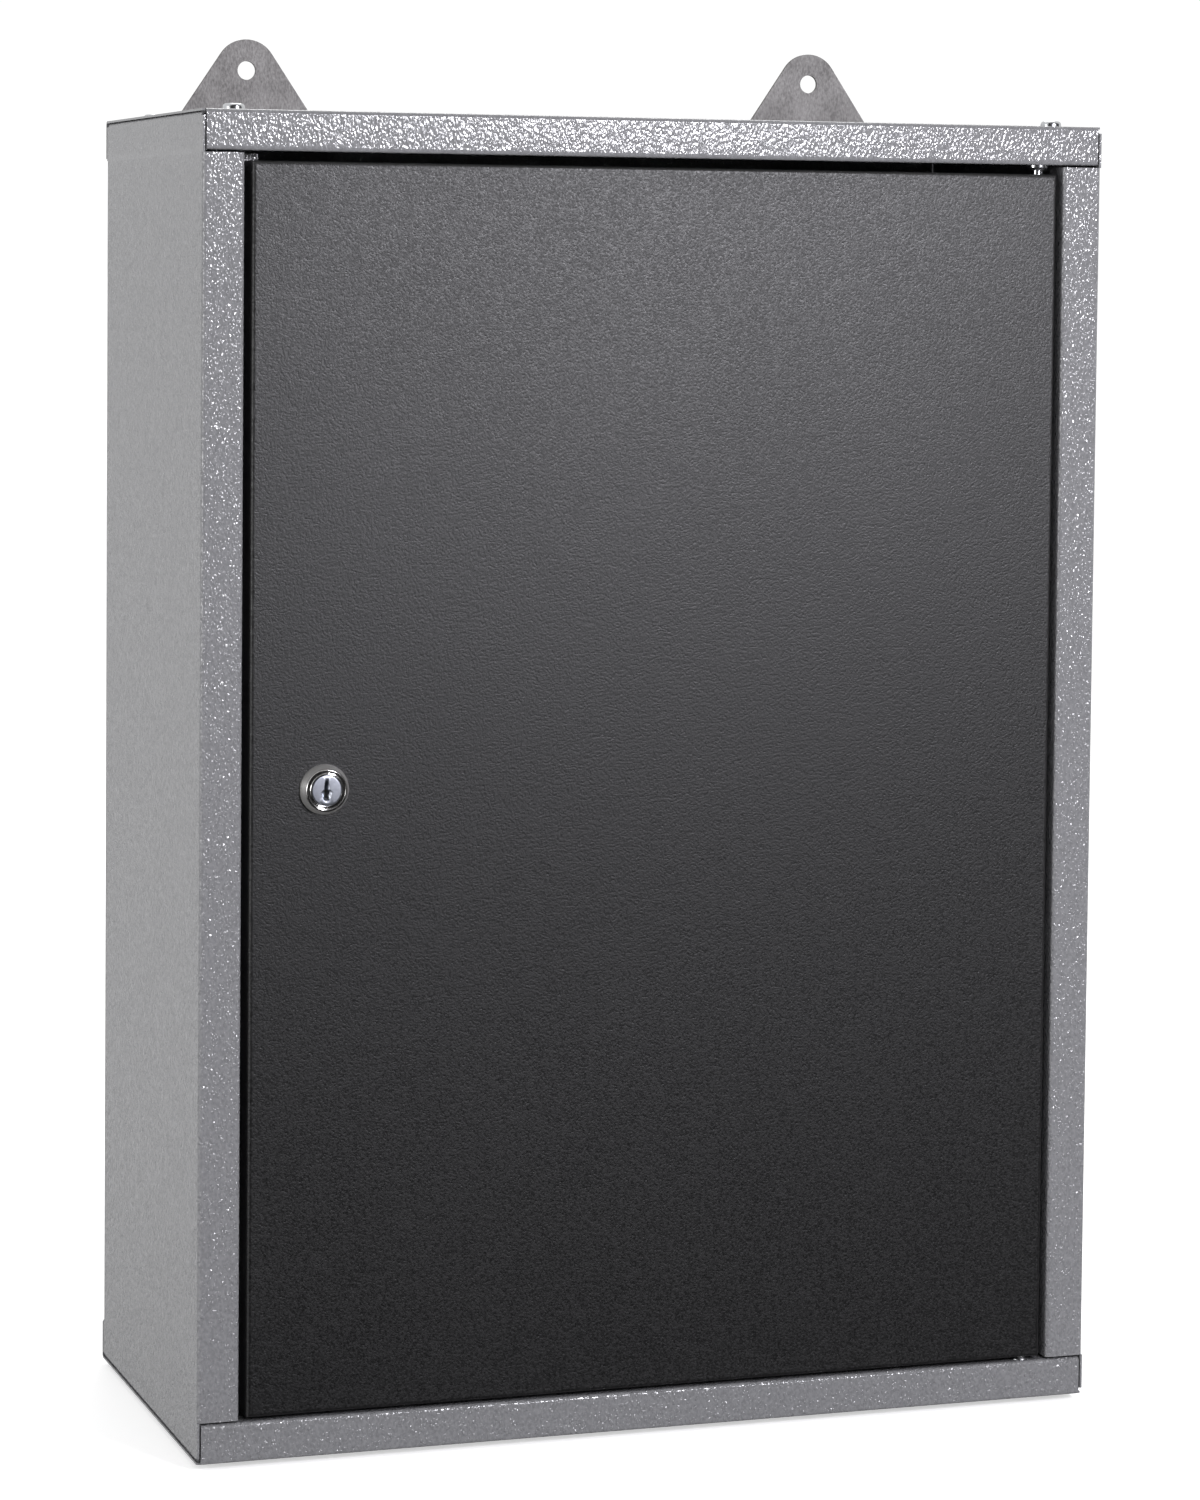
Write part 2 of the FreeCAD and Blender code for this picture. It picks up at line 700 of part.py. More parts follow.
def make_hinge_half(name, top):
    """One collared pin in its rail, its nut, and the bush that turns on it in the door."""
    sign = 1 if top else -1
    rail = rail_top if top else rail_high
    door_end = door_high if top else door_low
    collar = collar_high if top else door_gap_low - running_gap
    body = new_body(f"{name}_hinge_pin")
    outer_end = rail + (gauge + hex_thick + 1) * sign
    tip = door_end - pin_reach * sign
    profile = [(0, tip), (pin_radius - 0.6, tip), (pin_radius, tip + 0.6 * sign),
               (pin_radius, rail - collar * sign), (collar_radius - collar_slope, rail - collar * sign),
               (collar_radius, rail - (collar - collar_slope) * sign), (collar_radius, rail),
               (pin_radius, rail), (pin_radius, outer_end), (0, outer_end)]
    turn(body, "XZ", pivot_back, pivot_x, profile)

    body = new_body(f"{name}_hinge_nut")
    seat = rail + gauge if top else rail - gauge - hex_thick
    outline = [hexagon(pivot_x, pivot_back, hex_across), Ring(pivot_x, pivot_back, pin_radius)]
    pad(body, "XY", seat, hex_thick, outline)

    body = new_body(f"{name}_hinge_bush")
    bore = pin_radius + running_fit
    inside = door_end - gauge * sign
    far = door_end - (pin_reach - 1) * sign
    profile = [(bore, door_end), (bush_radius, door_end), (bush_radius, inside),
               (bush_flange, inside), (bush_flange, inside - bush_flange_thick * sign),
               (bush_radius, inside - bush_flange_thick * sign), (bush_radius, far), (bore, far)]
    turn(body, "XZ", pivot_back, pivot_x, profile)


# ---------------------------------------------------------------- the door

def make_door_panel():
    """A tray of sheet with its four edges folded back and a lip behind each side."""
    body = new_body("door_panel")
    pad(body, "XZ", 0, door_deep, [box(-door_x, door_low, door_x, door_high)])
    zero = as_size(0)

    def is_front_edge(edge):
        return runs_along(edge, y=zero)

    round_edges(body, fold, is_front_edge)
    inner = door_x - gauge
    low = door_low + gauge
    high = door_high - gauge
    cut(body, "XZ", gauge, door_deep - gauge * 2, [box(-inner, low, inner, high)])

    def is_inner_edge(edge):
        ends = [vertex.Point for vertex in edge.Vertexes]
        return runs_along(edge, y=gauge) and all(abs(end.x) < inner.value + 0.01 for end in ends)

    round_edges(body, bend, is_inner_edge)
    mouth = door_x - door_lip
    cut(body, "XZ", door_deep - gauge * 1.5, gauge * 2, [box(-mouth, low, mouth, high)])
    cut(body, "XZ", -gauge, gauge * 3, [Ring(lock_x, lock_high, barrel_radius)])
    for start in (door_low - gauge, door_high - gauge * 2):
        cut(body, "XY", start, gauge * 3, [Ring(pivot_x, pivot_back, bush_radius)])


def make_door_stiffener():
    """A hat section down the middle of the door's inner face."""
    body = new_body("door_stiffener")
    half = stiffener_wide / 2
    foot = half + stiffener_foot
    crown = gauge + stiffener_deep
    path = [(-foot, gauge), (-half, gauge), (-half, crown), (half, crown), (half, gauge),
            (foot, gauge)]
    low = door_low + stiffener_end
    pad(body, "XY", low, door_high - stiffener_end - low, [bent_sheet(path, 1)])


def make_stop_pads():
    """Rubber pads on the stop lip, just behind the closed door's edge."""
    body = new_body("door_stop_pads")
    centre = pad_radius + fold - mouth_x
    disc = pad(body, "XZ", stop_y - pad_thick, pad_thick, [Ring(centre, pad_end, pad_radius)])
    repeat(body, [disc], [("Z_Axis", height - pad_end * 2, 2)])


# ---------------------------------------------------------------- the lock

def make_lock_case():
    """What stays still in the door: housing, its bright cap, washer and nut."""
    body = new_body("lock_housing")
    bore = plug_radius + running_fit
    head_face = bezel_skin - bezel_proud
    profile = [(bore, barrel_end), (barrel_radius, barrel_end), (barrel_radius, 0),
               (bezel_radius - bezel_skin, 0), (bezel_radius - bezel_skin, -bezel_base),
               (bezel_face_radius - bezel_skin, head_face), (bore, head_face)]
    turn(body, "XY", lock_high, lock_x, profile)

    body = new_body("lock_bezel")
    profile = [(bezel_radius - bezel_skin, 0), (bezel_radius, 0), (bezel_radius, -bezel_base),
               (bezel_face_radius, -bezel_proud), (bore + bezel_skin / 2, -bezel_proud),
               (bore + bezel_skin / 2, head_face), (bezel_face_radius - bezel_skin, head_face),
               (bezel_radius - bezel_skin, -bezel_base)]
    turn(body, "XY", lock_high, lock_x, profile)

    body = new_body("lock_washer")
    rings = [Ring(lock_x, lock_high, washer_radius), Ring(lock_x, lock_high, barrel_radius)]
    pad(body, "XZ", gauge, washer_thick, rings)

    body = new_body("lock_nut")
    outline = [hexagon(lock_x, lock_high, nut_across), Ring(lock_x, lock_high, barrel_radius)]
    pad(body, "XZ", gauge + washer_thick, nut_thick, outline)


def wafer_box(wide, high):
    return box(lock_x - wide / 2, lock_high - high / 2, lock_x + wide / 2, lock_high + high / 2)


def make_lock_plug():
    """The turning plug with its keyway, wafer slots and the square end for the cam."""
    body = new_body("lock_plug")
    shoulder = cam_front
    pad(body, "XZ", plug_face, shoulder - plug_face, [Ring(lock_x, lock_high, plug_radius)])
    square = cam_square / 2
    end = box(lock_x - square, lock_high - square, lock_x + square, lock_high + square)
    pad(body, "XZ", shoulder, cam_thick - square_slack, [end])
    cut(body, "XZ", plug_face, key_deep, [wafer_box(key_wide, key_high)])
    first = wafer_pitch
    slot = cut(body, "XZ", first, wafer_thick + wafer_slack * 2,
               [wafer_box(wafer_wide + wafer_slack * 2, plug_radius * 2.2)])
    repeat(body, [slot], [("Y_Axis", wafer_pitch * (WAFER_COUNT - 1), WAFER_COUNT)])
    thread_low = cam_back + washer_thick - cam_screw_long
    cut(body, "XZ", thread_low, cam_screw_long, [Ring(lock_x, lock_high, cam_screw_radius)])

    body = new_body("lock_wafers")
    window = wafer_box(key_wide + 0.3, key_high + 0.4)
    wafer = pad(body, "XZ", first + wafer_slack, wafer_thick,
                [wafer_box(wafer_wide, wafer_high), window])
    repeat(body, [wafer], [("Y_Axis", wafer_pitch * (WAFER_COUNT - 1), WAFER_COUNT)])


def make_cam():
    """The cam, hanging straight down when unlocked, with its washer and screw."""
    body = new_body("lock_cam")
    half = cam_wide / 2
    top = lock_high + half
    foot = lock_high - cam_long
    outline = [(lock_x - half, foot, half * 0.5), (lock_x + half, foot, half * 0.5),
               (lock_x + half, top, half * 0.9), (lock_x - half, top, half * 0.9)]
    square = cam_square / 2 + square_slack
    hole = box(lock_x - square, lock_high - square, lock_x + square, lock_high + square)
    pad(body, "XZ", cam_front, cam_thick, [outline, hole])

    body = new_body("cam_washer")
    rings = [Ring(lock_x, lock_high, half * 0.8), Ring(lock_x, lock_high, cam_screw_radius)]
    pad(body, "XZ", cam_back, washer_thick, rings)

    body = new_body("cam_screw")
    seat = cam_back + washer_thick
    head = cam_screw_head * 0.6
    profile = [(0, seat - cam_screw_long), (cam_screw_radius, seat - cam_screw_long),
               (cam_screw_radius, seat), (cam_screw_head, seat), (cam_screw_head, seat + head * 0.6),
               (cam_screw_head * 0.8, seat + head), (0, seat + head)]
    turn(body, "XY", lock_high, lock_x, profile)


# ---------------------------------------------------------------- the shelves

def upright_middles():
    return {"front": upright_front, "rear": depth - upright_back}


def slot_level(number):
    return upright_end + slot_end + slot_pitch * number


def make_uprights():
    """Four slotted channels, welded to the inside of the side panels."""
    web = inner_x - upright_deep
    for hand, sign in (("left", -1), ("right", 1)):
        for place, middle in upright_middles().items():
            body = new_body(f"{place}_{hand}_upright")
            low = middle - upright_wide / 2
            high = middle + upright_wide / 2
            path = [(inner_x * sign, low), (web * sign, low), (web * sign, high),
                    (inner_x * sign, high)]
            pad(body, "XY", upright_end, height - upright_end * 2, [bent_sheet(path, -sign)])
            start = web - gauge if sign > 0 else -web - gauge
            slot = box(middle - slot_wide / 2, slot_level(0) - slot_high / 2,
                       middle + slot_wide / 2, slot_level(0) + slot_high / 2)
            first = cut(body, "YZ", start, gauge * 2.5, [slot])
            repeat(body, [first], [("Z_Axis", slot_pitch * (SLOT_COUNT - 1), SLOT_COUNT)])


def make_shelf(name, number):
    """A folded shelf and the four clips that hook into the uprights under it."""
    seat = slot_level(number) + clip_thick / 2
    body = new_body(f"{name}_shelf")
    top = seat + gauge
    front = shelf_front
    back = depth - shelf_back
    path = [(front + shelf_hem, top - shelf_lip), (front, top - shelf_lip), (front, top),
            (back, top), (back, top - shelf_lip)]
    half = inner_x - upright_deep - shelf_gap
    pad(body, "YZ", -half, half * 2, [bent_sheet(path, -1)])

    body = new_body(f"{name}_shelf_clips")
    web = inner_x - upright_deep
    hook = web + gauge + clip_slack
    under = seat - clip_thick
    outline = [(clip_ledge - web, seat), (-hook - clip_thick, seat),
               (-hook - clip_thick, under - clip_hook), (-hook, under - clip_hook), (-hook, under),
               (clip_ledge - web, under)]
    wide = slot_wide - clip_slack * 2
    middles = upright_middles()
    clip = pad(body, "XZ", middles["front"] - wide / 2, wide, [outline])
    repeat(body, [clip], ["YZ_Plane", ("Y_Axis", middles["rear"] - middles["front"], 2)])


# ---------------------------------------------------------------- building and writing

def build():
    make_side_panel("left_side_panel", -1)
    make_side_panel("right_side_panel", 1)
    make_end_panel("top_panel", True)
    make_end_panel("bottom_panel", False)
    make_back_panel()
    make_bracket("left_hanging_bracket", -1)
    make_bracket("right_hanging_bracket", 1)
    make_bracket_fasteners()
    for name, top in (("top", True), ("bottom", False)):
        make_panel_screws(f"{name}_panel_screws", top)
        make_panel_nuts(f"{name}_panel_nuts", top)
    make_rivets()
    make_hinge_half("upper", True)
    make_hinge_half("lower", False)
    make_door_panel()
    make_door_stiffener()
    make_stop_pads()
    make_lock_case()
    make_lock_plug()
    make_cam()
    make_uprights()
    make_shelf("lower", LOWER_SLOT)
    make_shelf("upper", UPPER_SLOT)


def check():
    for thing in doc.Objects:
        if "Invalid" in thing.State or "Error" in thing.State:
            raise RuntimeError(f"{thing.Name} failed: {thing.State}")
    for body in parts:
        if body.Shape.isNull() or not body.Shape.isValid():
            raise RuntimeError(f"{body.Label} has no valid shape")


doc.recompute()
build()
doc.recompute()
check()
os.makedirs("parts", exist_ok=True)
for body in parts:
    body.Shape.exportStep(f"parts/{body.Label}.step")
    bounds = body.Shape.BoundBox
    print(f"{body.Label:24s} {len(body.Shape.Solids):3d} solids {body.Shape.Volume:12.1f} mm3",
          f"X {bounds.XMin:8.2f} {bounds.XMax:8.2f}  Y {bounds.YMin:8.2f} {bounds.YMax:8.2f}",
          f"Z {bounds.ZMin:8.2f} {bounds.ZMax:8.2f}")
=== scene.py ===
"""Finishes and fine detail for a lockable sheet-steel wall cabinet."""

import bmesh
import bpy
import json
import math
from mathutils import Euler, Matrix, Vector

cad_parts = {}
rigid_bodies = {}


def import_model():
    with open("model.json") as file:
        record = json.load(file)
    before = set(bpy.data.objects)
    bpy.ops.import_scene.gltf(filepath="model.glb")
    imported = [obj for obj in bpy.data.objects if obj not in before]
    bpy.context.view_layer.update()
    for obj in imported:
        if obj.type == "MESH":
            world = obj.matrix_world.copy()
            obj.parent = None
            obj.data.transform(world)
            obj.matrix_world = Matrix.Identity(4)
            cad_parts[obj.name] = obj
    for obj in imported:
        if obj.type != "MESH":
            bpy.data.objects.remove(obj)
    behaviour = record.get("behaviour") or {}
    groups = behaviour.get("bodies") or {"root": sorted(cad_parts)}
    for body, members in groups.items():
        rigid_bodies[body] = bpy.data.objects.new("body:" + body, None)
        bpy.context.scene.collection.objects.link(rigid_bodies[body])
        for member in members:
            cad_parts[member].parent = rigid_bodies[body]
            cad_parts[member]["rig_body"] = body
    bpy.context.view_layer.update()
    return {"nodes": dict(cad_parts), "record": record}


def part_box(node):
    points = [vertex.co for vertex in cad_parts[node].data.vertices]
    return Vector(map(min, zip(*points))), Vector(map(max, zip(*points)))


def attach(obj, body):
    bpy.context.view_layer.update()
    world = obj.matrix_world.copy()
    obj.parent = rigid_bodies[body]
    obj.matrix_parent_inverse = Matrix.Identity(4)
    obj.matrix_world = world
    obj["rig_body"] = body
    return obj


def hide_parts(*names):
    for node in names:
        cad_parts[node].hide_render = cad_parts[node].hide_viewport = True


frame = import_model()
MM = 0.001


# ---------------------------------------------------------------- shader writing

def both_ways(operation):
    """An operator's two forms, with the wire before it and with the wire after it."""
    def before(wire, other):
        return wire.maths(operation, wire, other)

    def after(wire, other):
        return wire.maths(operation, other, wire)
    return before, after


class Wire:
    """An output socket; arithmetic on it adds Math nodes."""

    def __init__(self, tree, socket):
        self.tree = tree
        self.socket = socket

    def maths(self, operation, *values, **settings):
        return self.tree.node("ShaderNodeMath", {"operation": operation, **settings},
                              dict(enumerate(values)))

    __add__, __radd__ = both_ways("ADD")
    __sub__, __rsub__ = both_ways("SUBTRACT")
    __mul__, __rmul__ = both_ways("MULTIPLY")
    __truediv__, __rtruediv__ = both_ways("DIVIDE")
    __pow__, __rpow__ = both_ways("POWER")

    def __abs__(self):
        return self.maths("ABSOLUTE", self)

    def clipped(self):
        """The same value, held between 0 and 1."""
        return self.maths("ADD", self, 0.0, use_clamp=True)


class ShaderTree:
    """The nodes of a material or a world, and the shader that they feed."""

    def __init__(self, owner, shader):
        owner.use_nodes = True
        self.tree = owner.node_tree
        self.shader = self.tree.nodes[shader]

    def node(self, kind, settings, sockets, output=0):
        """Adds a node: its settings or a ramp's stops first, then the values or links of
        its sockets."""
        made = self.tree.nodes.new(kind)
        for name, value in settings.items():
            if name == "stops":
                set_stops(made.color_ramp.elements, value)
            else:
                setattr(made, name, value)
        for name, value in sockets.items():
            if isinstance(value, Wire):
                self.tree.links.new(value.socket, made.inputs[name])
            else:
                made.inputs[name].default_value = value
        return Wire(self, made.outputs[output])

    def feed(self, socket, wire):
        self.tree.links.new(wire.socket, self.shader.inputs[socket])


def set_stops(elements, stops):
    """Gives a ramp's elements their (position, grey value) stops."""
    while len(elements) < len(stops):
        elements.new(0.5)
    for element, (position, value) in zip(elements, stops):
        element.position = position
        element.color = (value, value, value, 1.0)


class Finish(ShaderTree):
    """One material: a Principled shader with the nodes that vary it over the surface.
    Its base colour and constants give the plain look that the nodes vary."""

    def __init__(self, name, base=(0.5, 0.5, 0.5), **constants):
        self.material = bpy.data.materials.new(name)
        super().__init__(self.material, "Principled BSDF")
        self.shader.inputs["Base Color"].default_value = (*base, 1.0)
        for socket, value in constants.items():
            label = socket.replace("_", " ").title().replace("Ior", "IOR")
            self.shader.inputs[label].default_value = value
        self.place = self.node("ShaderNodeTexCoord", {}, {}, "Object")

    def stretched(self, scale, turn=(0.0, 0.0, 0.0)):
        """Object coordinates turned by degrees and then scaled along Z."""
        sockets = {"Vector": self.place, "Scale": (1.0, 1.0, scale),
                   "Rotation": tuple(math.radians(angle) for angle in turn)}
        return self.node("ShaderNodeMapping", {}, sockets)

    def noise(self, vector, size_mm, detail=2.0, roughness=0.5):
        sockets = {"Vector": vector, "Scale": 1.0 / (size_mm * MM), "Detail": detail,
                   "Roughness": roughness}
        return self.node("ShaderNodeTexNoise", {}, sockets, "Fac")

    def ramp(self, wire, *stops):
        """A grey ramp through (position, value) stops."""
        return self.node("ShaderNodeValToRGB", {"stops": stops}, {"Fac": wire})

    def mixed(self, factor, first, second):
        """A colour between two others."""
        sockets = {0: factor, 6: (*first, 1.0), 7: (*second, 1.0)}
        return self.node("ShaderNodeMix", {"data_type": "RGBA"}, sockets, 2)

    def bump(self, height, depth_mm):
        sockets = {"Height": height, "Distance": depth_mm * MM, "Strength": 1.0}
        self.feed("Normal", self.node("ShaderNodeBump", {}, sockets))


# ---------------------------------------------------------------- finishes

def hammer_finish():
    """Glossy silver-grey paint that has drawn up into small worm-like lumps with
    pips on them. It has run smooth over the two long folds of the upper rail."""
    paint = Finish("hammer_finish", base=(0.15, 0.15, 0.157), roughness=0.15,
                   specular_ior_level=0.8)
    bends_per_metre = 420.0
    bend_by = 1.5 * MM
    pips_per_metre = 680.0
    pip_radius = 0.56                                  # of the distance between pips
    lean = (0.0, 30.0, 0.0)                            # of the lumps, in degrees
    drawn_out = 0.75                                   # their scale along Z
    lump_high, pip_high = 0.82, 0.9                    # of the coat's whole depth
    fold_search = 20 * MM                              # from the rail's middle

    place = paint.stretched(drawn_out, turn=lean)
    warp = paint.node("ShaderNodeTexNoise", {},
                      {"Vector": place, "Scale": bends_per_metre, "Detail": 1.0}, "Color")
    bent = paint.node("ShaderNodeVectorMath", {"operation": "MULTIPLY_ADD"},
                      {0: warp, 1: (bend_by, bend_by, bend_by), 2: place})
    lumps = paint.noise(bent, size_mm=1.4, detail=1.0, roughness=0.45)
    from_pip = paint.node("ShaderNodeTexVoronoi", {"feature": "F1"},
                          {"Vector": bent, "Scale": pips_per_metre}, "Distance") / pip_radius
    pips = (1.0 - from_pip * from_pip).clipped()
    tall = paint.ramp(paint.noise(place, size_mm=3.0), (0.35, 0.45), (0.60, 1.0))

    rail_low, case_top = (corner.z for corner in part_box("top_panel"))
    case_high = case_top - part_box("bottom_panel")[0].z
    level = paint.node("ShaderNodeSeparateXYZ", {}, {"Vector": paint.place}, "Z")
    from_rail = abs(level - (rail_low + case_top) / 2)
    smooth_folds = paint.ramp(from_rail / fold_search,
                              (0.0, 1.0), (0.36, 1.0), (0.42, 0.3), (0.50, 0.3), (0.54, 1.0))
    fuller_below = paint.ramp((case_top - level) / case_high, (0.0, 0.35), (0.1, 0.85), (1.0, 1.1))
    height = lumps ** 3.0 * lump_high + pips * tall * fuller_below * pip_high
    paint.bump(height * smooth_folds, depth_mm=0.36)
    tint = paint.ramp(lumps, (0.35, 0.0), (0.65, 1.0))
    paint.feed("Base Color", paint.mixed(tint, (0.138, 0.138, 0.145), (0.17, 0.17, 0.178)))
    return paint.material


def plain_paint():
    paint = Finish("inner_paint", base=(0.34, 0.34, 0.35), metallic=0.35, roughness=0.4)
    paint.bump(paint.noise(paint.place, size_mm=1.4, detail=2.0), depth_mm=0.05)
    return paint.material


def powder_coat():
    """Matt black powder with a fine grain."""
    coat = Finish("black_powder", base=(0.004, 0.004, 0.0042), roughness=0.46,
                  specular_ior_level=0.75)
    grain = coat.noise(coat.place, size_mm=0.9, detail=3.0, roughness=0.6)
    coat.bump(grain, depth_mm=0.2)
    speck = coat.ramp(grain, (0.36, 0.0), (0.64, 1.0))
    patch = coat.noise(coat.place, size_mm=60.0, detail=3.0)
    coat.feed("Roughness", speck * 0.2 + patch * 0.05 + 0.315)
    coat.feed("Base Color", coat.mixed(speck, (0.0025, 0.0025, 0.0026), (0.0065, 0.0063, 0.0068)))
    return coat.material


def bare_steel():
    """Dull rolled steel with a cloudy, grainy surface."""
    steel = Finish("bare_steel", base=(0.2, 0.19, 0.18), metallic=0.55, roughness=0.55)
    cloud = steel.noise(steel.place, size_mm=14.0, detail=4.0, roughness=0.6)
    grain = steel.noise(steel.stretched(0.5), size_mm=0.9, detail=3.0, roughness=0.6)
    tone = steel.ramp(cloud * 0.4 + grain * 0.6, (0.36, 0.0), (0.64, 1.0))
    steel.feed("Base Color", steel.mixed(tone, (0.115, 0.11, 0.108), (0.245, 0.238, 0.234)))
    steel.bump(grain, depth_mm=0.12)
    return steel.material


def zinc_plate():
    zinc = Finish("zinc_plate", base=(0.72, 0.73, 0.75), metallic=1.0, roughness=0.22)
    zinc.feed("Roughness", zinc.noise(zinc.place, size_mm=2.5, detail=3.0) * 0.2 + 0.12)
    return zinc.material


def chrome():
    """Bright plating, satin on the cap's sloping flank and polished on its front."""
    plate = Finish("lock_chrome", base=(0.62, 0.61, 0.60), metallic=1.0, roughness=0.1)
    low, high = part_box("lock_bezel")
    middle = (low + high) / 2
    flank_starts = 9.3 * MM                            # from the lock's axis
    edge_blend = 0.4 * MM
    away = plate.node("ShaderNodeVectorMath", {"operation": "SUBTRACT"},
                      {0: plate.place, 1: (middle.x, 0.0, middle.z)})
    flat = plate.node("ShaderNodeVectorMath", {"operation": "MULTIPLY"},
                      {0: away, 1: (1.0, 0.0, 1.0)})
    radius = plate.node("ShaderNodeVectorMath", {"operation": "LENGTH"}, {0: flat}, "Value")
    flank = ((radius - flank_starts) / edge_blend).clipped()
    cloud = plate.noise(plate.place, size_mm=3.0, detail=3.0)
    plate.feed("Roughness", flank * 0.22 + cloud * 0.05 + 0.11)
    plate.feed("Metallic", 1.0 - flank * 0.16)
    return plate.material


def satin_nickel():
    nickel = Finish("plug_nickel", base=(0.60, 0.63, 0.70), metallic=1.0, roughness=0.38)
    nickel.feed("Roughness", nickel.noise(nickel.place, size_mm=1.0, detail=3.0) * 0.12 + 0.32)
    return nickel.material


def brass():
    metal = Finish("wafer_brass", base=(0.72, 0.55, 0.25), metallic=1.0, roughness=0.25)
    metal.feed("Roughness", metal.noise(metal.place, size_mm=0.6, detail=2.0) * 0.2 + 0.15)
    return metal.material


def aluminium():
    metal = Finish("rivet_aluminium", base=(0.75, 0.75, 0.76), metallic=1.0, roughness=0.35)
    metal.feed("Roughness", metal.noise(metal.place, size_mm=1.0, detail=3.0) * 0.2 + 0.25)
    return metal.material


def nylon():
    plastic = Finish("bush_nylon", base=(0.78, 0.76, 0.70), roughness=0.45)
    plastic.bump(plastic.noise(plastic.place, size_mm=0.6, detail=2.0), depth_mm=0.02)
    return plastic.material


def rubber():
    pad = Finish("stop_rubber", base=(0.02, 0.02, 0.02), roughness=0.8)
    pad.bump(pad.noise(pad.place, size_mm=0.4, detail=3.0), depth_mm=0.05)
    return pad.material


FINISHES = {
    "case_paint": hammer_finish(),
    "shelf_paint": plain_paint(),
    "door_paint": powder_coat(),
    "bare_steel": bare_steel(),
    "zinc_plate": zinc_plate(),
    "aluminium_rivet": aluminium(),
    "bush_plastic": nylon(),
    "stop_rubber": rubber(),
    "lock_chrome": chrome(),
    "plug_nickel": satin_nickel(),
    "wafer_brass": brass(),
}


NODES = frame["nodes"]
SLOT_OF = {part["node"]: part["material_slot"] for part in frame["record"]["subparts"]}


def dress_frame():
    """Gives every CAD node the finish of its slot."""
    for name, node in NODES.items():
        for slot in node.material_slots:
            slot.material = FINISHES[SLOT_OF[name]]


# ---------------------------------------------------------------- mesh making

UPRIGHT = Matrix.Identity(4)                           # for a shape made on its own axis


def solids_of(node):
    """The lowest and highest corner of each separate solid in a CAD node."""
    mesh = bmesh.new()
    mesh.from_mesh(NODES[node].data)
    bmesh.ops.remove_doubles(mesh, verts=mesh.verts, dist=0.001 * MM)
    left = set(mesh.verts)
    boxes = []
    while left:
        reached = {left.pop()}
        waiting = list(reached)
        while waiting:
            vert = waiting.pop()
            for other in (edge.other_vert(vert) for edge in vert.link_edges):
                if other not in reached:
                    reached.add(other)
                    waiting.append(other)
        left -= reached
        spans = list(zip(*(vert.co for vert in reached)))
        boxes.append((Vector(map(min, spans)), Vector(map(max, spans))))
    mesh.free()
    return sorted(boxes, key=lambda pair: tuple(round(value, 6) for value in pair[0]))


def seat(low, high, up, height=0.0):
    """A place in millimetres on the middle line of the solid between two corners, its
    local Z along up and its origin that height above the solid's end."""
    up = Vector(up)
    middle = (low + high) / 2
    end = max(low.dot(up), high.dot(up))
    centre = middle + up * (end + height * MM - middle.dot(up))
    turn = up.to_track_quat("Z", "Y").to_matrix().to_4x4()
    return Matrix.Translation(centre) @ turn @ Matrix.Scale(MM, 4)


def seat_on(node, up, height=0.0):
    """The same for a CAD node of one solid."""
    low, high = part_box(node)
    return seat(low, high, up, height)


class Form:
    """A mesh in the making. Shapes are given in millimetres and put in a place."""

    def __init__(self):
        self.mesh = bmesh.new()

    def turned(self, place, profile, sides=48):
        """A profile of (radius, height) corners turned round the place's Z axis.
        It may be a function of the angle, for shapes that aren't round."""
        columns = []
        for number in range(sides):
            angle = math.tau * number / sides
            corners = profile(angle) if callable(profile) else profile
            columns.append([self.mesh.verts.new(place @ Vector((radius * math.cos(angle),
                            radius * math.sin(angle), height))) for radius, height in corners])
        closed = corners[0][0] > 0
        for left, right in zip(columns, columns[1:] + columns[:1]):
            for number in range(len(corners) - (0 if closed else 1)):
                after = (number + 1) % len(corners)
                self.mesh.faces.new((left[number], right[number], right[after], left[after]))
        return self

    def block(self, place, low, high, taper=1.0):
        """A block between two corners; taper scales its lower end."""
        verts = []
        for z, scale in ((low[2], taper), (high[2], 1.0)):
            for x, y in ((low[0], low[1]), (high[0], low[1]), (high[0], high[1]), (low[0], high[1])):
                verts.append(self.mesh.verts.new(place @ Vector((x * scale, y * scale, z))))
        for corners in ((3, 2, 1, 0), (4, 5, 6, 7), (0, 1, 5, 4), (1, 2, 6, 5), (2, 3, 7, 6),
                        (3, 0, 4, 7)):
            self.mesh.faces.new([verts[number] for number in corners])
        return self

    def finished(self):
        """The bmesh as mesh data, welded and with its faces outwards."""
        bmesh.ops.remove_doubles(self.mesh, verts=self.mesh.verts, dist=0.0005 * MM)
        bmesh.ops.recalc_face_normals(self.mesh, faces=self.mesh.faces)
        data = bpy.data.meshes.new("form")
        self.mesh.to_mesh(data)
        self.mesh.free()
        return data

    def without(self, cutter):
        """This form with another one cut out of it."""
        body = bpy.data.objects.new("body", self.finished())
        tool = bpy.data.objects.new("tool", cutter.finished())
        for thing in (body, tool):
            bpy.context.collection.objects.link(thing)
        modifier = body.modifiers.new("cut", "BOOLEAN")
        modifier.operation = "DIFFERENCE"
        modifier.object = tool
        modifier.solver = "EXACT"
        graph = bpy.context.evaluated_depsgraph_get()
        data = bpy.data.meshes.new_from_object(body.evaluated_get(graph))
        self.mesh = bmesh.new()
        self.mesh.from_mesh(data)
        for thing in (body, tool):
            bpy.data.objects.remove(thing)
        return self

    def copied(self, other, place):
        """Adds a copy of a finished shape in that place."""
        data = other.copy()
        data.transform(place)
        self.mesh.from_mesh(data)
        bpy.data.meshes.remove(data)


